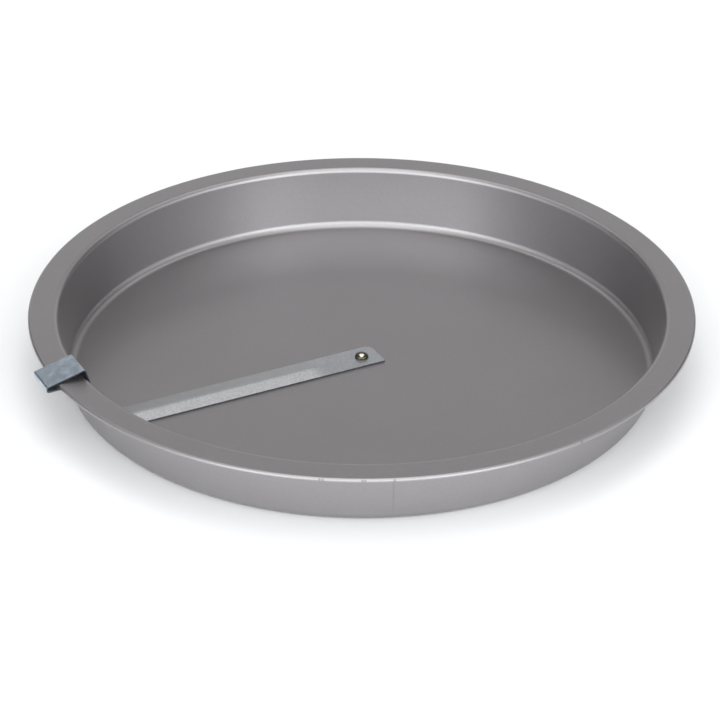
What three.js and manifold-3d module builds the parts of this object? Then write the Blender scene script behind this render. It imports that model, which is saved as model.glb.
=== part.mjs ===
// Round flan tin with a loosening arm.
// A shallow drawn sheet-steel pan with a flat flange, and a flat steel strip that turns about a
// rivet in the middle of the floor. The strip runs along the floor, stands up beside the wall,
// crosses the flange and hooks under the rim, so one full turn frees the bake from the pan.
// Units are millimetres, +Z is up, and the origin is the middle of the resting plane.

import * as THREE from 'three';
import { mergeVertices } from 'three/addons/utils/BufferGeometryUtils.js';
import Module from 'manifold-3d';

// ---------------------------------------------------------------- driving dimensions: pan
const rimRadius = 140.4;          // outermost radius of the flange
const panHeight = 28.9;           // resting plane to the top of the flange
const panSheet = 0.9;             // sheet thickness of the pan
const flangeWidth = 11.6;         // wall to rim, between the middles of the sheet
const wallDraft = 7.75;           // degrees that the wall leans outwards
const floorBend = 3.85;           // bend radii, on the middle of the sheet
const mouthBend = 2.05;
const rimBend = 0.75;
const rimLipDepth = 1.6;          // height of the turned-down edge of the flange

// ---------------------------------------------------------------- driving dimensions: rivet
const shankRadius = 1.9;
const headRadius = 2.95;
const headBand = 0.25;            // straight edge under the dome
const domeHeight = 1.75;
const tailRadius = 2.6;           // the tail is spread flush into a countersink
const tailHeight = 0.35;
const tailGroundGap = 0.1;        // keeps the rivet's tail off the table
const headPlay = 0.1;             // free height between the head and the arm
const panHoleClearance = 0.15;    // radial
const armHoleClearance = 0.25;    // radial
const sinkClearance = 0.3;        // round the tail in its countersink, and half of it above

// ---------------------------------------------------------------- driving dimensions: arm
const armAzimuth = 207.4;         // degrees from +X to where the arm is parked
const armWidth = 14.4;
const armSheet = 0.6;
const tailLength = 7.6;           // arm beyond the rivet's axis
const farCornerRadius = 3.2;      // rounded corner at the arm's end
const nearCornerRadius = 0.5;     // trimmed corner at the arm's end
const slideGap = 0.2;             // between the arm and whatever it slides on
const wallStandoff = 1.15;        // upright part to wall, between the middles of the sheets
const headOverhang = 0.05;        // how far the strip leans over the pan's mouth at its top
const footBend = 4;
const headBend = 1;
const bridgeRise = 3.25;          // how high the bridge starts above the flange
const bridgeGap = 0.25;           // free height where the bridge crosses the rim
const hookReach = 4.4;            // how far the hook stands out past the rim
const hookGap = 0.85;             // free height under the turned-down edge
const hookBend = 0.85;
const hookReturn = 3;             // how far the hook comes back under the flange
const ridgeHeight = 0.8;          // height of the stiffening crease along the strip
const ridgeStart = 17;            // flat pad round the rivet ends here
const ridgeFull = 26;             // crease has its full height from here
const ridgeFade = 12;             // length over which the crease dies out again
const ridgeMargin = 6;            // flat strip between the crease and the foot of the upright part

// ---------------------------------------------------------------- fineness
const panSegments = 72;
const rivetSegments = 32;
const domeFacets = 6;
const bendStep = 21;              // degrees of bend for each facet
const cornerShares = [0.02, 0.1, 0.27, 0.58, 1]; // stations round an end corner, of its radius

// ---------------------------------------------------------------- worked-out sizes
const radians = THREE.MathUtils.degToRad;
const mouthRadius = rimRadius - panSheet / 2 - flangeWidth;
const floorMiddle = panSheet / 2;
const flangeMiddle = panHeight - panSheet / 2;
const wallSlope = Math.tan(radians(wallDraft));
const baseRadius = mouthRadius - wallSlope * (flangeMiddle - floorMiddle);
const rimLipBottom = panHeight - rimLipDepth;
const armMiddle = panSheet + slideGap + armSheet / 2;
const headBottom = armMiddle + armSheet / 2 + headPlay;
const panHoleRadius = shankRadius + panHoleClearance;
const sinkDepth = tailGroundGap + tailHeight + sinkClearance / 2;

// ---------------------------------------------------------------- sheet metal helpers

// Follows a folded sheet's middle line. Each corner is [across, height, bend radius].
// Every sample carries its point and the left-hand normal of the line there.
function foldLine(corners) {
  const points = corners.map(([x, y]) => new THREE.Vector2(x, y));
  const samples = [];
  const add = (point, direction) => {
    samples.push({ point, normal: new THREE.Vector2(-direction.y, direction.x) });
  };
  const heading = (i) => points[i + 1].clone().sub(points[i]).normalize();
  add(points[0], heading(0));
  for (let i = 1; i < points.length - 1; i += 1) {
    const before = heading(i - 1);
    const after = heading(i);
    const turn = Math.atan2(before.cross(after), before.dot(after));
    const radius = corners[i][2];
    if (radius === 0) {
      const mean = before.clone().add(after).normalize();
      add(points[i], mean);
      continue;
    }
    const run = radius * Math.tan(Math.abs(turn) / 2);
    const start = points[i].clone().addScaledVector(before, -run);
    const side = Math.sign(turn);
    const centre = start.clone().add(
      new THREE.Vector2(-before.y, before.x).multiplyScalar(side * radius));
    const facets = Math.ceil(Math.abs(turn) / radians(bendStep));
    for (let k = 0; k <= facets; k += 1) {
      const angle = (turn * k) / facets;
      const point = start.clone().rotateAround(centre, angle);
      const direction = before.clone().rotateAround(new THREE.Vector2(), angle);
      add(point, direction);
    }
  }
  add(points[points.length - 1], heading(points.length - 2));
  return samples;
}

// A point at the given distance to the left of a sample.
function offset(sample, distance) {
  return sample.point.clone().addScaledVector(sample.normal, distance);
}

// Adds samples where the line first crosses the given distances from the rivet.
function addStations(line, stations) {
  const result = [line[0]];
  const waiting = [...stations].sort((a, b) => a - b);
  for (let i = 1; i < line.length; i += 1) {
    const from = line[i - 1];
    const to = line[i];
    while (waiting.length > 0 && waiting[0] < to.point.x) {
      const share = (waiting.shift() - from.point.x) / (to.point.x - from.point.x);
      const point = from.point.clone().lerp(to.point, share);
      result.push({ point, normal: to.normal.clone() });
    }
    result.push(to);
  }
  return result;
}

// Turns an upright profile, listed with its solid on the left, about the Z axis.
function turned(profile, segments) {
  const geometry = new THREE.LatheGeometry(profile, segments);
  return geometry.rotateX(Math.PI / 2);
}

// ---------------------------------------------------------------- booleans
const wasm = await Module();
wasm.setup();

function toSolid(geometry) {
  const bare = geometry.clone();
  bare.deleteAttribute('normal');
  bare.deleteAttribute('uv');
  const merged = mergeVertices(bare, 1e-4);
  return new wasm.Manifold(new wasm.Mesh({
    numProp: 3,
    vertProperties: new Float32Array(merged.attributes.position.array),
    triVerts: new Uint32Array(merged.index.array),
  }));
}

function toGeometry(solid) {
  const mesh = solid.getMesh();
  const geometry = new THREE.BufferGeometry();
  geometry.setAttribute('position', new THREE.BufferAttribute(mesh.vertProperties, 3));
  geometry.setIndex(new THREE.BufferAttribute(mesh.triVerts, 1));
  geometry.computeVertexNormals();
  return geometry;
}

// ---------------------------------------------------------------- pan
function panGeometry() {
  const sinkRadius = tailRadius + sinkClearance;
  const line = foldLine([
    [sinkRadius, floorMiddle, 0],
    [baseRadius, floorMiddle, floorBend],
    [mouthRadius, flangeMiddle, mouthBend],
    [rimRadius - panSheet / 2, flangeMiddle, rimBend],
    [rimRadius - panSheet / 2, rimLipBottom, 0],
  ]);
  const outside = line.map((sample) => offset(sample, -panSheet / 2));
  const inside = line.map((sample) => offset(sample, panSheet / 2)).reverse();
  const hole = [
    new THREE.Vector2(panHoleRadius, panSheet),
    new THREE.Vector2(panHoleRadius, sinkDepth),
  ];
  return turned([...outside, ...inside, ...hole, outside[0].clone()], panSegments);
}

// ---------------------------------------------------------------- rivet
function rivetGeometry() {
  const tailTop = tailGroundGap + tailHeight;
  const bandTop = headBottom + headBand;
  const profile = [
    new THREE.Vector2(0, tailGroundGap),
    new THREE.Vector2(tailRadius, tailGroundGap),
    new THREE.Vector2(shankRadius, tailTop),
    new THREE.Vector2(shankRadius, headBottom),
    new THREE.Vector2(headRadius, headBottom),
  ];
  for (let k = 0; k < domeFacets; k += 1) {
    const angle = (Math.PI / 2) * (k / domeFacets);
    profile.push(new THREE.Vector2(
      headRadius * Math.cos(angle), bandTop + domeHeight * Math.sin(angle)));
  }
  profile.push(new THREE.Vector2(0, bandTop + domeHeight));
  return turned(profile, rivetSegments);
}

// ---------------------------------------------------------------- arm

// How far a flat strip's edges reach beyond its middle on a circle of this radius.
function edgeReach(radius) {
  return radius - Math.sqrt(radius * radius - (armWidth / 2) ** 2);
}

// The strip's middle line, outwards from the rivet, and where its upright part begins.
function armLine() {
  const half = armSheet / 2;
  const besideWall = (height) => {
    const wall = baseRadius + wallSlope * (height - floorMiddle);
    return wall - wallStandoff - edgeReach(baseRadius);
  };
  const foot = besideWall(armMiddle);
  const neckHeight = flangeMiddle - mouthBend;
  const head = mouthRadius + headOverhang;
  const bridgeStart = panHeight + bridgeRise;
  const crossing = rimRadius - rimBend;
  const bridgeSlope = (bridgeRise - bridgeGap - half) / (crossing - head);
  const hook = rimRadius + hookReach;
  const hookTop = bridgeStart - bridgeSlope * (hook - head);
  const hookBottom = rimLipBottom - hookGap - half;
  const turnRadius = Math.min(hookBend, (hookTop - hookBottom) / 2);
  const line = foldLine([
    [-tailLength, armMiddle, 0],
    [foot, armMiddle, footBend],
    [besideWall(neckHeight), neckHeight, 0],
    [head, bridgeStart, headBend],
    [hook, hookTop, turnRadius],
    [hook, hookBottom, turnRadius],
    [rimRadius - hookReturn, hookBottom, 0],
  ]);
  return { foot, line };
}

// Half the strip's width on one side, at a distance from its end, with that corner rounded.
function halfWidth(distance, cornerRadius) {
  const inside = Math.max(cornerRadius - distance, 0);
  return armWidth / 2 - cornerRadius + Math.sqrt(cornerRadius ** 2 - inside ** 2);
}

// Height of the crease at a distance from the rivet.
function ridgeAt(along, foot) {
  const rise = THREE.MathUtils.clamp((along - ridgeStart) / (ridgeFull - ridgeStart), 0, 1);
  const fall = THREE.MathUtils.clamp((foot - ridgeMargin - along) / ridgeFade, 0, 1);
  return ridgeHeight * Math.min(rise, fall);
}

function armGeometry() {
  const { foot, line } = armLine();
  const cornerStations = cornerShares.map((share) => share * farCornerRadius - tailLength);
  const ridgeEnd = foot - ridgeMargin;
  const floorEnd = line.findIndex((sample) => sample.point.x >= foot - footBend);
  const onFloor = addStations(line.slice(0, floorEnd + 1), [
    ...cornerStations, ridgeStart, ridgeFull, ridgeEnd - ridgeFade, ridgeEnd]);
  const stations = [...onFloor, ...line.slice(floorEnd + 1)];
  const positions = [];
  stations.forEach((sample, i) => {
    const onFloorRun = i < onFloor.length;
    const distance = onFloorRun ? sample.point.x + tailLength : farCornerRadius;
    const far = halfWidth(distance, farCornerRadius);
    const near = halfWidth(distance, nearCornerRadius);
    const ridge = onFloorRun ? ridgeAt(sample.point.x, foot) : 0;
    const section = [
      [-near, armSheet / 2], [0, armSheet / 2 + ridge], [far, armSheet / 2],
      [far, -armSheet / 2], [0, ridge - armSheet / 2], [-near, -armSheet / 2],
    ];
    section.forEach(([across, height]) => {
      const point = offset(sample, height);
      positions.push(point.x, -across, point.y);
    });
  });
  const index = [];
  const ring = 6; // corners of one cross-section
  for (let i = 0; i < stations.length - 1; i += 1) {
    for (let k = 0; k < ring; k += 1) {
      const a = i * ring + k;
      const b = i * ring + ((k + 1) % ring);
      index.push(a, b, a + ring, b, b + ring, a + ring);
    }
  }
  const last = (stations.length - 1) * ring;
  index.push(0, 5, 1, 1, 5, 4, 1, 4, 2, 2, 4, 3);
  index.push(last, last + 1, last + 5, last + 1, last + 4, last + 5);
  index.push(last + 1, last + 2, last + 4, last + 2, last + 3, last + 4);
  const strip = new THREE.BufferGeometry();
  strip.setAttribute('position', new THREE.Float32BufferAttribute(positions, 3));
  strip.setIndex(index);
  const holeRadius = shankRadius + armHoleClearance;
  const drillLength = 4 * armSheet;
  const drill = new THREE.CylinderGeometry(holeRadius, holeRadius, drillLength, rivetSegments);
  drill.rotateX(Math.PI / 2).translate(0, 0, armMiddle);
  return toGeometry(toSolid(strip).subtract(toSolid(drill)));
}

// ---------------------------------------------------------------- materials
const panCoating = new THREE.MeshStandardMaterial({
  name: 'pan_coating', color: 0x8a898a, roughness: 0.42, metalness: 0.75,
});
const armSteel = new THREE.MeshStandardMaterial({
  name: 'arm_steel', color: 0x9ba2ab, roughness: 0.35, metalness: 0.95,
});
const rivetSteel = new THREE.MeshStandardMaterial({
  name: 'rivet_steel', color: 0xcfc9bb, roughness: 0.12, metalness: 1,
});

// ---------------------------------------------------------------- assembly
function named(name, geometry, material) {
  const mesh = new THREE.Mesh(geometry, material);
  mesh.name = name;
  return mesh;
}

const tin = new THREE.Group();
tin.add(named('pan_shell', panGeometry(), panCoating));
tin.add(named('pivot_rivet', rivetGeometry(), rivetSteel));

const armTurn = new THREE.Group();
armTurn.rotation.z = radians(armAzimuth);
armTurn.add(named('release_arm', armGeometry(), armSteel));
tin.add(armTurn);

export default tin;
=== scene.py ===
"""Looks of a round flan tin with a loosening arm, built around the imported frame.

Lengths are millimetres, and become metres when a mesh is made, unless a comment says metres.
"""

import math

import bpy
from mathutils import Matrix, Vector


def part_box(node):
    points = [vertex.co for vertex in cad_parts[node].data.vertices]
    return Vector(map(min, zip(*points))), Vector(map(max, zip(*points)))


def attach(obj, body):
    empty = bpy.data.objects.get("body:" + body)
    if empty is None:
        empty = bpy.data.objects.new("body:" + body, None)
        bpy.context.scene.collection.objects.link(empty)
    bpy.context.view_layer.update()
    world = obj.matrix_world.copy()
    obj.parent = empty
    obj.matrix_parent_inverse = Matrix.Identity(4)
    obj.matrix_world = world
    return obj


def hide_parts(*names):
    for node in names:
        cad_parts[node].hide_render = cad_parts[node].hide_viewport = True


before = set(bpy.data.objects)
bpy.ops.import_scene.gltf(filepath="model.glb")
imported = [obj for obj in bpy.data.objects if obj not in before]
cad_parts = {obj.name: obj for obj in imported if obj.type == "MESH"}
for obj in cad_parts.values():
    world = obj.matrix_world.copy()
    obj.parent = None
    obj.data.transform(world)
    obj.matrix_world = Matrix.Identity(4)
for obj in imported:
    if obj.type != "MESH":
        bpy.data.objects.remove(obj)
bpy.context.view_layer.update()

MM = 0.001
_, pan_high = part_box("pan_shell")

# ------------------------------------------------------------------ sizes, in millimetres
RIM_RADIUS = pan_high.x / MM
PAN_HEIGHT = pan_high.z / MM
PAN_SHEET = 0.9
FLANGE_WIDTH = 11.6
WALL_DRAFT = math.radians(7.75)
FLOOR_BEND = 3.85
MOUTH_BEND = 2.05
RIM_BEND = 0.75
RIM_LIP_DEPTH = 1.6
PAN_HOLE = 2.05
SINK_RADIUS = 2.9
SINK_DEPTH = 0.6

ARM_AZIMUTH = math.radians(207.4)
ARM_WIDTH = 14.4
ARM_SHEET = 0.6
ARM_GAP = 0.08
TAIL_LENGTH = 7.6
FAR_CORNER = 3.2
NEAR_CORNER = 0.5
WALL_STANDOFF = 1.15
HEAD_OVERHANG = 0.05
FOOT_BEND = 4.0
HEAD_BEND = 1.0
BRIDGE_RISE = 3.25
BRIDGE_GAP = 0.25
HOOK_REACH = 4.4
HOOK_GAP = 0.85
HOOK_BEND = 0.85
HOOK_RETURN = 3.0
RIDGE_HEIGHT = 0.8
RIDGE_START = 17.0
RIDGE_FULL = 26.0
RIDGE_FADE = 12.0
RIDGE_MARGIN = 6.0
EDGE_BREAK = 0.04

SHANK_RADIUS = 1.9
HEAD_RADIUS = 2.95
HEAD_BAND = 0.2
DOME_HEIGHT = 1.75
TAIL_RADIUS = 2.6
TAIL_BOTTOM = 0.1
TAIL_TOP = 0.45

FLOOR_MIDDLE = PAN_SHEET / 2
FLANGE_MIDDLE = PAN_HEIGHT - PAN_SHEET / 2
WALL_SLOPE = math.tan(WALL_DRAFT)
MOUTH_RADIUS = RIM_RADIUS - PAN_SHEET / 2 - FLANGE_WIDTH
BASE_RADIUS = MOUTH_RADIUS - WALL_SLOPE * (FLANGE_MIDDLE - FLOOR_MIDDLE)
RIM_LIP_BOTTOM = PAN_HEIGHT - RIM_LIP_DEPTH
ARM_MIDDLE = PAN_SHEET + ARM_GAP + ARM_SHEET / 2
ARM_TOP = ARM_MIDDLE + ARM_SHEET / 2


# ------------------------------------------------------------------ camera
CAMERA_BACK = 962.56
CAMERA_HEIGHT = 555.35
CAMERA_PITCH = math.radians(29.986)
CAMERA_YAW = math.radians(0.0405)
CAMERA_ROLL = math.radians(0.289)
CAMERA_LENS = 129.74
CAMERA_SENSOR = 36

# Metres.
CAMERA_NEAREST = 0.05
CAMERA_FARTHEST = 50


def make_camera():
    data = bpy.data.cameras.new("camera")
    data.lens = CAMERA_LENS
    data.sensor_width = CAMERA_SENSOR
    data.clip_start = CAMERA_NEAREST
    data.clip_end = CAMERA_FARTHEST
    camera = bpy.data.objects.new("camera", data)
    camera.location = Vector((0, -CAMERA_BACK, CAMERA_HEIGHT)) * MM
    turn = Matrix.Rotation(CAMERA_YAW, 4, "Z")
    tilt = Matrix.Rotation(math.pi / 2 - CAMERA_PITCH, 4, "X")
    roll = Matrix.Rotation(CAMERA_ROLL, 4, "Z")
    camera.rotation_euler = (turn @ tilt @ roll).to_euler()
    bpy.context.scene.collection.objects.link(camera)
    bpy.context.scene.camera = camera


make_camera()


# ------------------------------------------------------------------ folded sheet metal
class Sample:
    """A point of a sheet's middle line, with the line's left-hand normal there."""

    def __init__(self, point, heading):
        self.point = point
        self.normal = Vector((-heading.y, heading.x))

    def offset(self, distance):
        return self.point + self.normal * distance


def turn2(vector, angle):
    """A plane vector turned anticlockwise."""
    c, s = math.cos(angle), math.sin(angle)
    return Vector((c * vector.x - s * vector.y, s * vector.x + c * vector.y))


def fold_line(corners, bend_step, run_step):
    """Samples along a line through corners of (across, height, bend radius)."""
    points = [Vector(c[:2]) for c in corners]
    samples = []

    def run(start, end):
        heading = (end - start).normalized()
        pieces = max(1, math.ceil((end - start).length / run_step))
        samples.extend(Sample(start.lerp(end, k / pieces), heading) for k in range(pieces + 1))

    start = points[0]
    for i in range(1, len(points) - 1):
        before = (points[i] - points[i - 1]).normalized()
        after = (points[i + 1] - points[i]).normalized()
        bend = math.atan2(before.x * after.y - before.y * after.x, before.dot(after))
        radius = corners[i][2]
        reach = radius * math.tan(abs(bend) / 2)
        run(start, points[i] - before * reach)
        start = points[i] + after * reach
        side = math.copysign(radius, bend)
        centre = points[i] - before * reach + turn2(before, math.pi / 2) * side
        steps = max(1, math.ceil(abs(bend) / bend_step))
        for k in range(1, steps):
            angle = bend * k / steps
            arm = turn2(points[i] - before * reach - centre, angle)
            samples.append(Sample(centre + arm, turn2(before, angle)))
    run(start, points[-1])
    return samples


# ------------------------------------------------------------------ mesh helpers
def make_piece(name, verts, faces, normals, body, node, material):
    """A smooth mesh with its own vertex normals, riding on a body in a CAD node's place."""
    mesh = bpy.data.meshes.new(name)
    mesh.from_pydata([v * MM for v in verts], [], faces)
    mesh.validate()
    mesh.shade_smooth()
    if normals:
        mesh.normals_split_custom_set_from_vertices([n.normalized() for n in normals])
    mesh.materials.append(material)
    piece = bpy.data.objects.new(name, mesh)
    bpy.context.scene.collection.objects.link(piece)
    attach(piece, body)
    if node:
        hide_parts(node)
    return piece


def lathe(outline, segments):
    """Turns a closed outline of (radius, height, normal) about Z.

    The outline runs anticlockwise, with the solid on its left.
    """
    verts, normals, faces = [], [], []
    count = len(outline)
    for i in range(segments):
        angle = 2 * math.pi * i / segments
        c, s = math.cos(angle), math.sin(angle)
        for radius, height, normal in outline:
            verts.append(Vector((radius * c, radius * s, height)))
            normals.append(Vector((normal.x * c, normal.x * s, normal.y)))
    for i in range(segments):
        j = (i + 1) % segments
        for k in range(count):
            m = (k + 1) % count
            faces.append((i * count + k, j * count + k, j * count + m, i * count + m))
    return verts, faces, normals


# ------------------------------------------------------------------ materials
BUMP_DEPTH = 0.05


def new_material(name):
    material = bpy.data.materials.new(name)
    material.use_nodes = True
    return material, material.node_tree.nodes, material.node_tree.links


def add(nodes, kind, **settings):
    """Adds a node. Settings name its properties, or its inputs when they hold a space or capital."""
    node = nodes.new(kind)
    for key, value in settings.items():
        if key in node.inputs:
            node.inputs[key].default_value = value
        else:
            setattr(node, key, value)
    return node


def ramp(nodes, low, high, low_colour, high_colour):
    """A colour ramp between two colours, at two positions of its factor."""
    node = nodes.new("ShaderNodeValToRGB")
    first, last = node.color_ramp.elements
    first.position, last.position = low, high
    first.color, last.color = (*low_colour, 1), (*high_colour, 1)
    return node


def mix_colour(nodes, links, factor, first, second):
    """Mixes two colour outputs by a factor output."""
    node = nodes.new("ShaderNodeMix")
    node.data_type = "RGBA"
    links.new(factor, node.inputs[0])
    links.new(first, node.inputs[6])
    links.new(second, node.inputs[7])
    return node.outputs[2]


def vary_roughness(nodes, links, shader, factor, low, high):
    """Spreads the roughness between two values by a factor output."""
    rough = add(nodes, "ShaderNodeMapRange")
    rough.inputs["To Min"].default_value = low
    rough.inputs["To Max"].default_value = high
    links.new(factor, rough.inputs["Value"])
    links.new(rough.outputs["Result"], shader.inputs["Roughness"])


def fine_bump(nodes, links, shader, factor, strength):
    """Roughens the surface by a factor output, a few hundredths of a millimetre deep."""
    bump = add(nodes, "ShaderNodeBump", Strength=strength, Distance=BUMP_DEPTH * MM)
    links.new(factor, bump.inputs["Height"])
    links.new(bump.outputs["Normal"], shader.inputs["Normal"])


def near_points(nodes, links, place, points, inner, outer):
    """1 within a small radius of any of the points, and 0 outside a larger one.

    The points and both radii are in millimetres.
    """
    total = None
    for point in points:
        away = add(nodes, "ShaderNodeVectorMath", operation="DISTANCE")
        away.inputs[1].default_value = Vector(point) * MM
        links.new(place, away.inputs[0])
        close = add(nodes, "ShaderNodeMapRange")
        close.inputs["From Min"].default_value = outer * MM
        close.inputs["From Max"].default_value = inner * MM
        links.new(away.outputs["Value"], close.inputs["Value"])
        if total is None:
            total = close.outputs["Result"]
            continue
        both = add(nodes, "ShaderNodeMath", operation="MAXIMUM")
        links.new(total, both.inputs[0])
        links.new(close.outputs["Result"], both.inputs[1])
        total = both.outputs["Value"]
    return total


def on_circle(radius, across, height):
    """The point at the front of a circle about Z that lies so far to the right of the middle."""
    return (across, -math.sqrt(radius**2 - across**2), height)


MARK_ACROSS = 12.5
MARK_HALF_WIDTH = 0.45
MARK_LOW = 1.0
MARK_HIGH = 12.0
MARK_STRENGTH = 0.35
NICK_RADIUS = RIM_RADIUS - 0.3
NICK_HEIGHT = PAN_HEIGHT - 0.7
NICK_PLACES = (-15.6, -14.4, 0.6, 1.6, 12.8, 85.0)
NICKS = [on_circle(NICK_RADIUS, across, NICK_HEIGHT) for across in NICK_PLACES]
NICK_CORE = 0.1
NICK_REACH = 0.7
WALL_CHIP = (-98.6, 78.9, 5.4)


def draw_mark(nodes, links, place):
    """1 on an upright scratch on the outside of the wall, in front, fading towards its foot."""
    across = add(nodes, "ShaderNodeSeparateXYZ")
    links.new(place, across.inputs[0])
    shifted = add(nodes, "ShaderNodeMath", operation="SUBTRACT")
    shifted.inputs[1].default_value = MARK_ACROSS * MM
    links.new(across.outputs["X"], shifted.inputs[0])
    aside = add(nodes, "ShaderNodeMath", operation="ABSOLUTE")
    links.new(shifted.outputs["Value"], aside.inputs[0])
    line = add(nodes, "ShaderNodeMapRange")
    line.inputs["From Min"].default_value = MARK_HALF_WIDTH * MM
    line.inputs["From Max"].default_value = 0
    links.new(aside.outputs["Value"], line.inputs["Value"])
    above = add(nodes, "ShaderNodeMapRange")
    above.inputs["From Min"].default_value = MARK_LOW * MM
    above.inputs["From Max"].default_value = MARK_HIGH * MM
    links.new(across.outputs["Z"], above.inputs["Value"])
    facing = add(nodes, "ShaderNodeSeparateXYZ")
    links.new(nodes.new("ShaderNodeTexCoord").outputs["Normal"], facing.inputs[0])
    outside = add(nodes, "ShaderNodeMath", operation="MULTIPLY")
    links.new(facing.outputs["Y"], outside.inputs[0])
    front = add(nodes, "ShaderNodeMath", operation="LESS_THAN")
    front.inputs[1].default_value = 0
    links.new(across.outputs["Y"], front.inputs[0])
    links.new(front.outputs["Value"], outside.inputs[1])
    first = add(nodes, "ShaderNodeMath", operation="MULTIPLY")
    links.new(line.outputs["Result"], first.inputs[0])
    links.new(above.outputs["Result"], first.inputs[1])
    second = add(nodes, "ShaderNodeMath", operation="MULTIPLY")
    links.new(first.outputs["Value"], second.inputs[0])
    links.new(outside.outputs["Value"], second.inputs[1])
    flip = add(nodes, "ShaderNodeMath", operation="MULTIPLY")
    flip.use_clamp = True
    flip.inputs[1].default_value = -1
    links.new(second.outputs["Value"], flip.inputs[0])
    return flip.outputs["Value"]


def pan_coating():
    """Satin silver-grey metallic coating with a fine grain and a few small marks."""
    material, nodes, links = new_material("pan_coating")
    shader = nodes["Principled BSDF"]
    shader.inputs["Metallic"].default_value = 1.0
    place = nodes.new("ShaderNodeTexCoord").outputs["Object"]
    grain = add(nodes, "ShaderNodeTexNoise", Scale=950, Detail=2.0, Roughness=0.65)
    cloud = add(nodes, "ShaderNodeTexNoise", Scale=22, Detail=3.0, Roughness=0.5)
    links.new(place, grain.inputs["Vector"])
    links.new(place, cloud.inputs["Vector"])
    fine = ramp(nodes, 0.3, 0.7, (0.349, 0.336, 0.342), (0.394, 0.378, 0.386))
    links.new(grain.outputs["Fac"], fine.inputs["Fac"])
    broad = ramp(nodes, 0.35, 0.65, (0.363, 0.349, 0.355), (0.382, 0.368, 0.376))
    links.new(cloud.outputs["Fac"], broad.inputs["Fac"])
    even = add(nodes, "ShaderNodeMix")
    even.data_type = "RGBA"
    even.inputs[0].default_value = 0.5
    links.new(fine.outputs["Color"], even.inputs[6])
    links.new(broad.outputs["Color"], even.inputs[7])
    dark = add(nodes, "ShaderNodeRGB")
    dark.outputs[0].default_value = (0.17, 0.166, 0.17, 1)
    nicks = near_points(nodes, links, place, NICKS + [WALL_CHIP], NICK_CORE, NICK_REACH)
    marks = add(nodes, "ShaderNodeMath", operation="MAXIMUM")
    links.new(nicks, marks.inputs[0])
    scratch = add(nodes, "ShaderNodeMath", operation="MULTIPLY")
    scratch.inputs[1].default_value = MARK_STRENGTH
    links.new(draw_mark(nodes, links, place), scratch.inputs[0])
    links.new(scratch.outputs["Value"], marks.inputs[1])
    colour = mix_colour(nodes, links, marks.outputs["Value"], even.outputs[2], dark.outputs[0])
    links.new(colour, shader.inputs["Base Color"])
    vary_roughness(nodes, links, shader, grain.outputs["Fac"], 0.34, 0.42)
    fine_bump(nodes, links, shader, grain.outputs["Fac"], 0.15)
    return material


# Distances from the rivet, in metres.
HOOK_BLUE_START = 0.124
HOOK_BLUE_FULL = 0.131


def arm_steel():
    """Plated strip with a fine spangle, bluer at the hook. Its cut edges are dark: a darker cut-steel
    tone plus painted shade for the gap under the edge.
    The crease's near flank carries a painted highlight and its far flank painted shade, standing in
    for how each flank faces the light.
    """
    material, nodes, links = new_material("arm_steel")
    shader = nodes["Principled BSDF"]
    shader.inputs["Metallic"].default_value = 1.0
    place = nodes.new("ShaderNodeTexCoord").outputs["Object"]
    spangle = add(nodes, "ShaderNodeTexNoise", Scale=900, Detail=2.0, Roughness=0.7)
    cloud = add(nodes, "ShaderNodeTexNoise", Scale=260, Detail=3.0, Roughness=0.6)
    links.new(place, spangle.inputs["Vector"])
    links.new(place, cloud.inputs["Vector"])
    pad = ramp(nodes, 0.35, 0.65, (0.48, 0.50, 0.53), (0.58, 0.60, 0.63))
    links.new(spangle.outputs["Fac"], pad.inputs["Fac"])
    # Painted highlight on the crease's near flank, where it faces the light.
    near = ramp(nodes, 0.35, 0.65, (0.72, 0.73, 0.745), (0.90, 0.905, 0.92))
    links.new(spangle.outputs["Fac"], near.inputs["Fac"])
    # Painted shade on the crease's far flank, which faces away from the light.
    far = ramp(nodes, 0.35, 0.65, (0.37, 0.375, 0.39), (0.41, 0.415, 0.43))
    links.new(cloud.outputs["Fac"], far.inputs["Fac"])
    # The flank attribute places the painted highlight and the painted shade.
    side = add(nodes, "ShaderNodeAttribute", attribute_name="painted_flank_light").outputs["Fac"]
    away = add(nodes, "ShaderNodeMath", operation="MULTIPLY", use_clamp=True)
    away.inputs[1].default_value = -1
    links.new(side, away.inputs[0])
    far_flank_shade = mix_colour(nodes, links, away.outputs["Value"], pad.outputs["Color"], far.outputs["Color"])
    toward = add(nodes, "ShaderNodeClamp")
    links.new(side, toward.inputs["Value"])
    strip = mix_colour(nodes, links, toward.outputs["Result"], far_flank_shade, near.outputs["Color"])
    hook = ramp(nodes, 0.38, 0.62, (0.36, 0.42, 0.49), (0.50, 0.57, 0.64))
    links.new(cloud.outputs["Fac"], hook.inputs["Fac"])
    outward = add(nodes, "ShaderNodeVectorMath", operation="LENGTH")
    links.new(place, outward.inputs[0])
    reach = ramp(nodes, HOOK_BLUE_START, HOOK_BLUE_FULL, (0, 0, 0), (1, 1, 1))
    links.new(outward.outputs["Value"], reach.inputs["Fac"])
    plated = mix_colour(nodes, links, reach.outputs["Color"], strip, hook.outputs["Color"])
    # Cut edges: a darker cut-steel tone plus painted shade for the shadow gap under the strip's edge.
    edge = add(nodes, "ShaderNodeAttribute", attribute_name="cut_edge")
    edge_shade = ramp(nodes, 0.3, 0.7, (0.10, 0.10, 0.11), (0.16, 0.16, 0.17))
    links.new(spangle.outputs["Fac"], edge_shade.inputs["Fac"])
    colour = mix_colour(nodes, links, edge.outputs["Fac"], plated, edge_shade.outputs["Color"])
    links.new(colour, shader.inputs["Base Color"])
    vary_roughness(nodes, links, shader, cloud.outputs["Fac"], 0.26, 0.4)
    fine_bump(nodes, links, shader, spangle.outputs["Fac"], 0.1)
    return material


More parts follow.
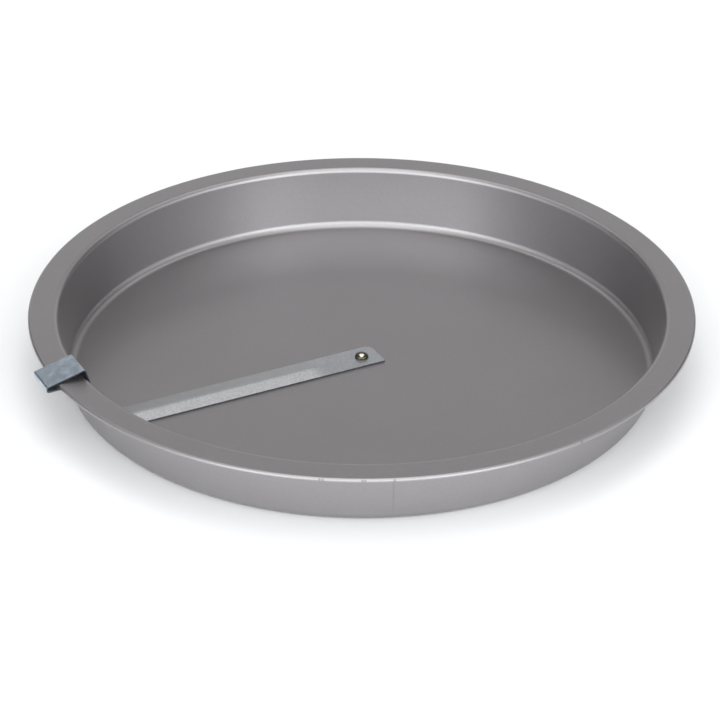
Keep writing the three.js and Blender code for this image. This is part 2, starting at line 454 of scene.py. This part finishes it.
# Middle of the painted highlight on the front of the rivet's crown.
HIGHLIGHT_SPOT = (0, -1.35, ARM_TOP + HEAD_BAND + 0.85 * DOME_HEIGHT)
HIGHLIGHT_SPOT_CORE = 0.7
HIGHLIGHT_SPOT_REACH = 1.2
# Middle of the dome's painted dark reflection; outside its reach the rim band takes a painted
# reflection.
DARK_REFLECTION_MIDDLE = (0, -0.6, ARM_TOP + HEAD_BAND)
DARK_REFLECTION_CORE = 2.75
DARK_REFLECTION_REACH = 3.25


def rivet_steel():
    """Dark rivet with painted reflections: a painted highlight on the front of its crown, a painted
    reflection along the back of its rim, and painted dark reflection over the rest of the dome.
    """
    material, nodes, links = new_material("rivet_steel")
    shader = nodes["Principled BSDF"]
    shader.inputs["Metallic"].default_value = 1.0
    place = nodes.new("ShaderNodeTexCoord").outputs["Object"]
    speckle = add(nodes, "ShaderNodeTexNoise", Scale=1500, Detail=2.0, Roughness=0.6)
    links.new(place, speckle.inputs["Vector"])
    # Painted dark reflection, painted highlight, and a painted reflection along the rim.
    dark_reflection = ramp(nodes, 0.35, 0.65, (0.07, 0.064, 0.04), (0.12, 0.11, 0.075))
    painted_highlight = ramp(nodes, 0.35, 0.65, (0.86, 0.85, 0.80), (0.95, 0.94, 0.90))
    rim = ramp(nodes, 0.35, 0.65, (0.44, 0.43, 0.34), (0.58, 0.56, 0.46))
    for shade in (dark_reflection, painted_highlight, rim):
        links.new(speckle.outputs["Fac"], shade.inputs["Fac"])
    crown = near_points(nodes, links, place, [HIGHLIGHT_SPOT], HIGHLIGHT_SPOT_CORE, HIGHLIGHT_SPOT_REACH)
    inside = near_points(nodes, links, place, [DARK_REFLECTION_MIDDLE], DARK_REFLECTION_CORE, DARK_REFLECTION_REACH)
    top = mix_colour(nodes, links, crown, dark_reflection.outputs["Color"], painted_highlight.outputs["Color"])
    colour = mix_colour(nodes, links, inside, rim.outputs["Color"], top)
    links.new(colour, shader.inputs["Base Color"])
    vary_roughness(nodes, links, shader, speckle.outputs["Fac"], 0.12, 0.22)
    return material


def stage_paper():
    """Plain matt paper under the object."""
    material, nodes, links = new_material("stage_paper")
    shader = nodes["Principled BSDF"]
    shader.inputs["Base Color"].default_value = (0.9, 0.9, 0.9, 1)
    shader.inputs["Roughness"].default_value = 0.9
    shader.inputs["Specular IOR Level"].default_value = 0.1
    return material


# ------------------------------------------------------------------ pan
PAN_SEGMENTS = 288
PAN_RUN_STEP = 6.0
EDGE_STEPS = 8
BEND_STEP = math.radians(9)


def sheet_outline(line, thickness):
    """The two faces of a folded sheet, each a list of (radius, height, normal)."""
    outside = [(*s.offset(-thickness / 2), -s.normal) for s in line]
    inside = [(*s.offset(thickness / 2), s.normal) for s in reversed(line)]
    return outside, inside


def make_pan():
    line = fold_line(
        [
            (SINK_RADIUS, FLOOR_MIDDLE, 0),
            (BASE_RADIUS, FLOOR_MIDDLE, FLOOR_BEND),
            (MOUTH_RADIUS, FLANGE_MIDDLE, MOUTH_BEND),
            (RIM_RADIUS - PAN_SHEET / 2, FLANGE_MIDDLE, RIM_BEND),
            (RIM_RADIUS - PAN_SHEET / 2, RIM_LIP_BOTTOM + PAN_SHEET / 2, 0),
        ],
        BEND_STEP,
        PAN_RUN_STEP,
    )
    outside, inside = sheet_outline(line, PAN_SHEET)
    end = line[-1]
    round_end = []
    for k in range(1, EDGE_STEPS):
        angle = math.pi * k / EDGE_STEPS
        out = turn2(-end.normal, angle)
        round_end.append((*(end.point + out * (PAN_SHEET / 2)), out))
    inward = Vector((-1, 0))
    hole = [
        (PAN_HOLE, PAN_SHEET, Vector((-0.7, 0.7))),
        (PAN_HOLE, SINK_DEPTH, inward),
    ]
    outline = outside + round_end + inside + hole
    verts, faces, normals = lathe(outline, PAN_SEGMENTS)
    coating = pan_coating()
    return make_piece("pan", verts, faces, normals, "pan", "pan_shell", coating)


# ------------------------------------------------------------------ arm
def edge_reach(radius):
    """How far a flat strip's edges reach beyond its middle on a circle of this radius."""
    return radius - math.sqrt(radius**2 - (ARM_WIDTH / 2) ** 2)


def beside_wall(height):
    wall = BASE_RADIUS + WALL_SLOPE * (height - FLOOR_MIDDLE)
    return wall - WALL_STANDOFF - edge_reach(BASE_RADIUS)


ARM_FOOT = beside_wall(ARM_MIDDLE)
ARM_NECK_BEND = 8.0
ARM_RUN_STEP = 1.5


def arm_line():
    half = ARM_SHEET / 2
    neck = FLANGE_MIDDLE - MOUTH_BEND
    head = MOUTH_RADIUS + HEAD_OVERHANG
    bridge_start = PAN_HEIGHT + BRIDGE_RISE
    crossing = RIM_RADIUS - RIM_BEND
    bridge_slope = (BRIDGE_RISE - BRIDGE_GAP - half) / (crossing - head)
    hook = RIM_RADIUS + HOOK_REACH
    hook_top = bridge_start - bridge_slope * (hook - head)
    hook_bottom = RIM_LIP_BOTTOM - HOOK_GAP - half
    return fold_line(
        [
            (-TAIL_LENGTH, ARM_MIDDLE, 0),
            (ARM_FOOT, ARM_MIDDLE, FOOT_BEND),
            (beside_wall(neck), neck, ARM_NECK_BEND),
            (head, bridge_start, HEAD_BEND),
            (hook, hook_top, HOOK_BEND),
            (hook, hook_bottom, HOOK_BEND),
            (RIM_RADIUS - HOOK_RETURN, hook_bottom, 0),
        ],
        BEND_STEP,
        ARM_RUN_STEP,
    )


def half_width(distance, corner):
    """Half the strip's width at a distance from its end, where that corner is rounded."""
    inside = max(corner - distance, 0)
    return ARM_WIDTH / 2 - corner + math.sqrt(corner**2 - inside**2)


def ease(share):
    share = min(max(share, 0), 1)
    return share * share * (3 - 2 * share)


def ridge_at(along):
    ridge_end = ARM_FOOT - RIDGE_MARGIN
    rise = (along - RIDGE_START) / (RIDGE_FULL - RIDGE_START)
    fall = (ridge_end - along) / RIDGE_FADE
    return RIDGE_HEIGHT * min(ease(rise), ease(fall))


RIDGE_ROUND = 1.2
CREASE_BLEND = 1.1
SLOPE_STEP = 0.02
SHARES = [-1, -0.85, -0.6, -0.35, -0.15, -0.07, 0, 0.07, 0.15, 0.35, 0.6, 0.85, 1]


def crown(across, half, ridge):
    """Height of the crease above the strip's edges: two flanks with a small round on top."""
    share = abs(across) / half
    soft = RIDGE_ROUND / half
    roof = 1 - share
    if share < soft:
        roof = 1 - (share**2 / soft + soft) / 2
    return ridge * roof


def flank(across):
    """-1 on the far flank of the crease and 1 on the near one, with a short change between. It places
    the arm's painted flank highlight and painted flank shade.
    """
    return min(max(across / CREASE_BLEND, -1), 1)


def arm_section(near, far, ridge):
    """The strip's cross-section, anticlockwise seen from the rivet.

    Each entry is across, height, normal, 1 on the cut edges or 0 on the faces, and how far it
    is onto the near flank of the crease, from -1 to 1. The last two place the painted edge shade and
    the painted flank highlight and shade.
    """
    half_sheet = ARM_SHEET / 2
    top = []
    for share in SHARES:
        half = near if share > 0 else far
        across = share * (half - EDGE_BREAK)
        height = crown(across, half, ridge)
        rise = crown(across + SLOPE_STEP, half, ridge) - crown(across - SLOPE_STEP, half, ridge)
        slope = rise / (2 * SLOPE_STEP)
        top.append((across, height, Vector((-slope, 1)).normalized()))
    side = half_sheet - EDGE_BREAK
    near_edge = [(near, side, Vector((1, 0)), 1, 0), (near, -side, Vector((1, 0)), 1, 0)]
    far_edge = [(-far, -side, Vector((-1, 0)), 1, 0), (-far, side, Vector((-1, 0)), 1, 0)]
    full = ridge / RIDGE_HEIGHT
    upper = [(a, h + half_sheet, n, 0, full * flank(a)) for a, h, n in top]
    lower = [(a, h - half_sheet, -n, 0, full * flank(a)) for a, h, n in reversed(top)]
    return upper + near_edge + lower + far_edge


TIP_STEPS = [0, 0.05, 0.15, 0.3, 0.5, 0.8, 1.2, 1.7, 2.3, 3.0, 3.8, 4.8]
TIP_CLEAR = 0.3
OFF_FLOOR_HEIGHT = 3
SAME_POINT = 1e-6
FLAT_PLAY = 0.01


def arm_stations():
    """Samples along the arm, closer together where the corners of its end are rounded."""
    line = arm_line()
    stations = []
    for sample in line:
        if stations and (sample.point - stations[-1].point).length < SAME_POINT:
            continue
        stations.append(sample)
    heading = Vector((1, 0))
    tip = [Sample(Vector((d - TAIL_LENGTH, ARM_MIDDLE)), heading) for d in TIP_STEPS]
    past_tip = tip[-1].point.x + TIP_CLEAR
    return tip + [s for s in stations if s.point.x > past_tip or s.point.y > OFF_FLOOR_HEIGHT]


def make_arm():
    stations = arm_stations()
    turn = Matrix.Rotation(ARM_AZIMUTH, 3, "Z")
    verts, normals, faces, cut, flank_lighting = [], [], [], [], []
    for sample in stations:
        on_floor = sample.point.y < ARM_MIDDLE + FLAT_PLAY
        distance = sample.point.x + TAIL_LENGTH if on_floor else ARM_WIDTH
        ridge = ridge_at(sample.point.x) if on_floor else 0
        ring = arm_section(half_width(distance, NEAR_CORNER), half_width(distance, FAR_CORNER), ridge)
        along = Vector((sample.normal.x, 0, sample.normal.y))
        for across, height, normal, edge, side in ring:
            middle = sample.offset(height)
            verts.append(turn @ Vector((middle.x, across, middle.y)))
            normals.append(turn @ (along * normal.y + Vector((0, normal.x, 0))))
            cut.append(edge)
            # How far onto the near flank: places the painted flank highlight and painted flank shade.
            flank_lighting.append(side)
    count = len(ring)
    for i in range(len(stations) - 1):
        for k in range(count):
            m = (k + 1) % count
            faces.append((i * count + k, (i + 1) * count + k, (i + 1) * count + m, i * count + m))
    faces.append(tuple(range(count)))
    last = (len(stations) - 1) * count
    faces.append(tuple(last + k for k in reversed(range(count))))
    arm = make_piece("arm", verts, faces, normals, "arm", "release_arm", arm_steel())
    arm.data.attributes.new("cut_edge", "FLOAT", "POINT").data.foreach_set("value", cut)
    arm.data.attributes.new("painted_flank_light", "FLOAT", "POINT").data.foreach_set("value", flank_lighting)


# ------------------------------------------------------------------ rivet
AXIS_GAP = 0.02
RIVET_EDGE = 0.1
HEAD_LIP = 0.08
DOME_STEPS = 14
RIVET_SEGMENTS = 64


def make_rivet():
    band_top = ARM_TOP + HEAD_BAND
    outline = [
        (AXIS_GAP, TAIL_BOTTOM, Vector((0, -1))),
        (TAIL_RADIUS - RIVET_EDGE, TAIL_BOTTOM, Vector((0.2, -1))),
        (TAIL_RADIUS, TAIL_BOTTOM + RIVET_EDGE, Vector((1, -0.3))),
        (SHANK_RADIUS, TAIL_TOP, Vector((1, 0.3))),
        (SHANK_RADIUS, ARM_TOP, Vector((1, 0))),
        (HEAD_RADIUS - RIVET_EDGE, ARM_TOP, Vector((0.3, -1))),
        (HEAD_RADIUS, ARM_TOP + HEAD_LIP, Vector((1, -0.2))),
    ]
    for k in range(DOME_STEPS):
        angle = math.pi / 2 * k / DOME_STEPS
        c, s = math.cos(angle), math.sin(angle)
        normal = Vector((DOME_HEIGHT * c, HEAD_RADIUS * s))
        outline.append((HEAD_RADIUS * c, band_top + DOME_HEIGHT * s, normal.normalized()))
    outline.append((AXIS_GAP, band_top + DOME_HEIGHT, Vector((0, 1))))
    verts, faces, normals = lathe(outline, RIVET_SEGMENTS)
    steel = rivet_steel()
    return make_piece("rivet", verts, faces, normals, "pan", "pivot_rivet", steel)


make_pan()
make_arm()
make_rivet()


# ------------------------------------------------------------------ stage and lights
# Metres from the middle to each side.
FLOOR_REACH = 3.0


def make_floor():
    size = FLOOR_REACH
    mesh = bpy.data.meshes.new("studio_floor")
    corners = [(-size, -size, 0), (size, -size, 0), (size, size, 0), (-size, size, 0)]
    mesh.from_pydata(corners, [], [(0, 1, 2, 3)])
    mesh.materials.append(stage_paper())
    floor = bpy.data.objects.new("studio_floor", mesh)
    bpy.context.scene.collection.objects.link(floor)


# Metres.
LIGHT_DISTANCE = 2.5

WORLD_STRENGTH = 0.13

COOL = (0.965, 0.995, 1.015)
PLAIN = (1, 1, 1)

# name: (degrees round from the back, degrees up, degrees wide, degrees high, radiance, colour)
SOFTBOXES = {
    "front": (180, 26, 90, 44, 2.35, COOL),
    "front_high": (180, 64, 60, 26, 1.9, PLAIN),
    "front_left": (232, 26, 40, 44, 1.05, COOL),
    "front_right": (128, 26, 40, 44, 1.2, COOL),
    "left": (270, 20, 40, 36, 0.5, COOL),
    "right": (90, 20, 40, 36, 0.7, COOL),
    "left_high": (285, 52, 70, 30, 0.3, PLAIN),
    "right_high": (75, 52, 70, 30, 0.3, PLAIN),
    "back_low": (0, 16, 70, 24, 0.7, PLAIN),
    "back_mid": (0, 40, 60, 22, 0.2, PLAIN),
    "back_high": (0, 63, 60, 22, 1.0, PLAIN),
    "top": (0, 90, 30, 30, 2.1, PLAIN),
}


def soft_light(name, azimuth, elevation, wide, high, radiance, colour):
    """A rectangular softbox facing the object, sized by the angles that it fills."""
    data = bpy.data.lights.new(name, "AREA")
    data.shape = "RECTANGLE"
    data.size = 2 * LIGHT_DISTANCE * math.tan(math.radians(wide / 2))
    data.size_y = 2 * LIGHT_DISTANCE * math.tan(math.radians(high / 2))
    data.energy = math.pi * data.size * data.size_y * radiance
    data.color = colour
    round_, up = math.radians(azimuth), math.radians(elevation)
    place = Vector((math.sin(round_) * math.cos(up), math.cos(round_) * math.cos(up), math.sin(up)))
    light = bpy.data.objects.new(name, data)
    light.location = place * LIGHT_DISTANCE
    light.rotation_euler = (-place).to_track_quat("-Z", "Y").to_euler()
    bpy.context.scene.collection.objects.link(light)


def make_world(strength):
    world = bpy.data.worlds.new("studio")
    world.use_nodes = True
    background = world.node_tree.nodes["Background"]
    background.inputs["Color"].default_value = (1, 1, 1, 1)
    background.inputs["Strength"].default_value = strength
    bpy.context.scene.world = world


make_floor()
make_world(WORLD_STRENGTH)
for light_name, shape in SOFTBOXES.items():
    soft_light(light_name, *shape)
bpy.context.scene.view_settings.view_transform = "Standard"
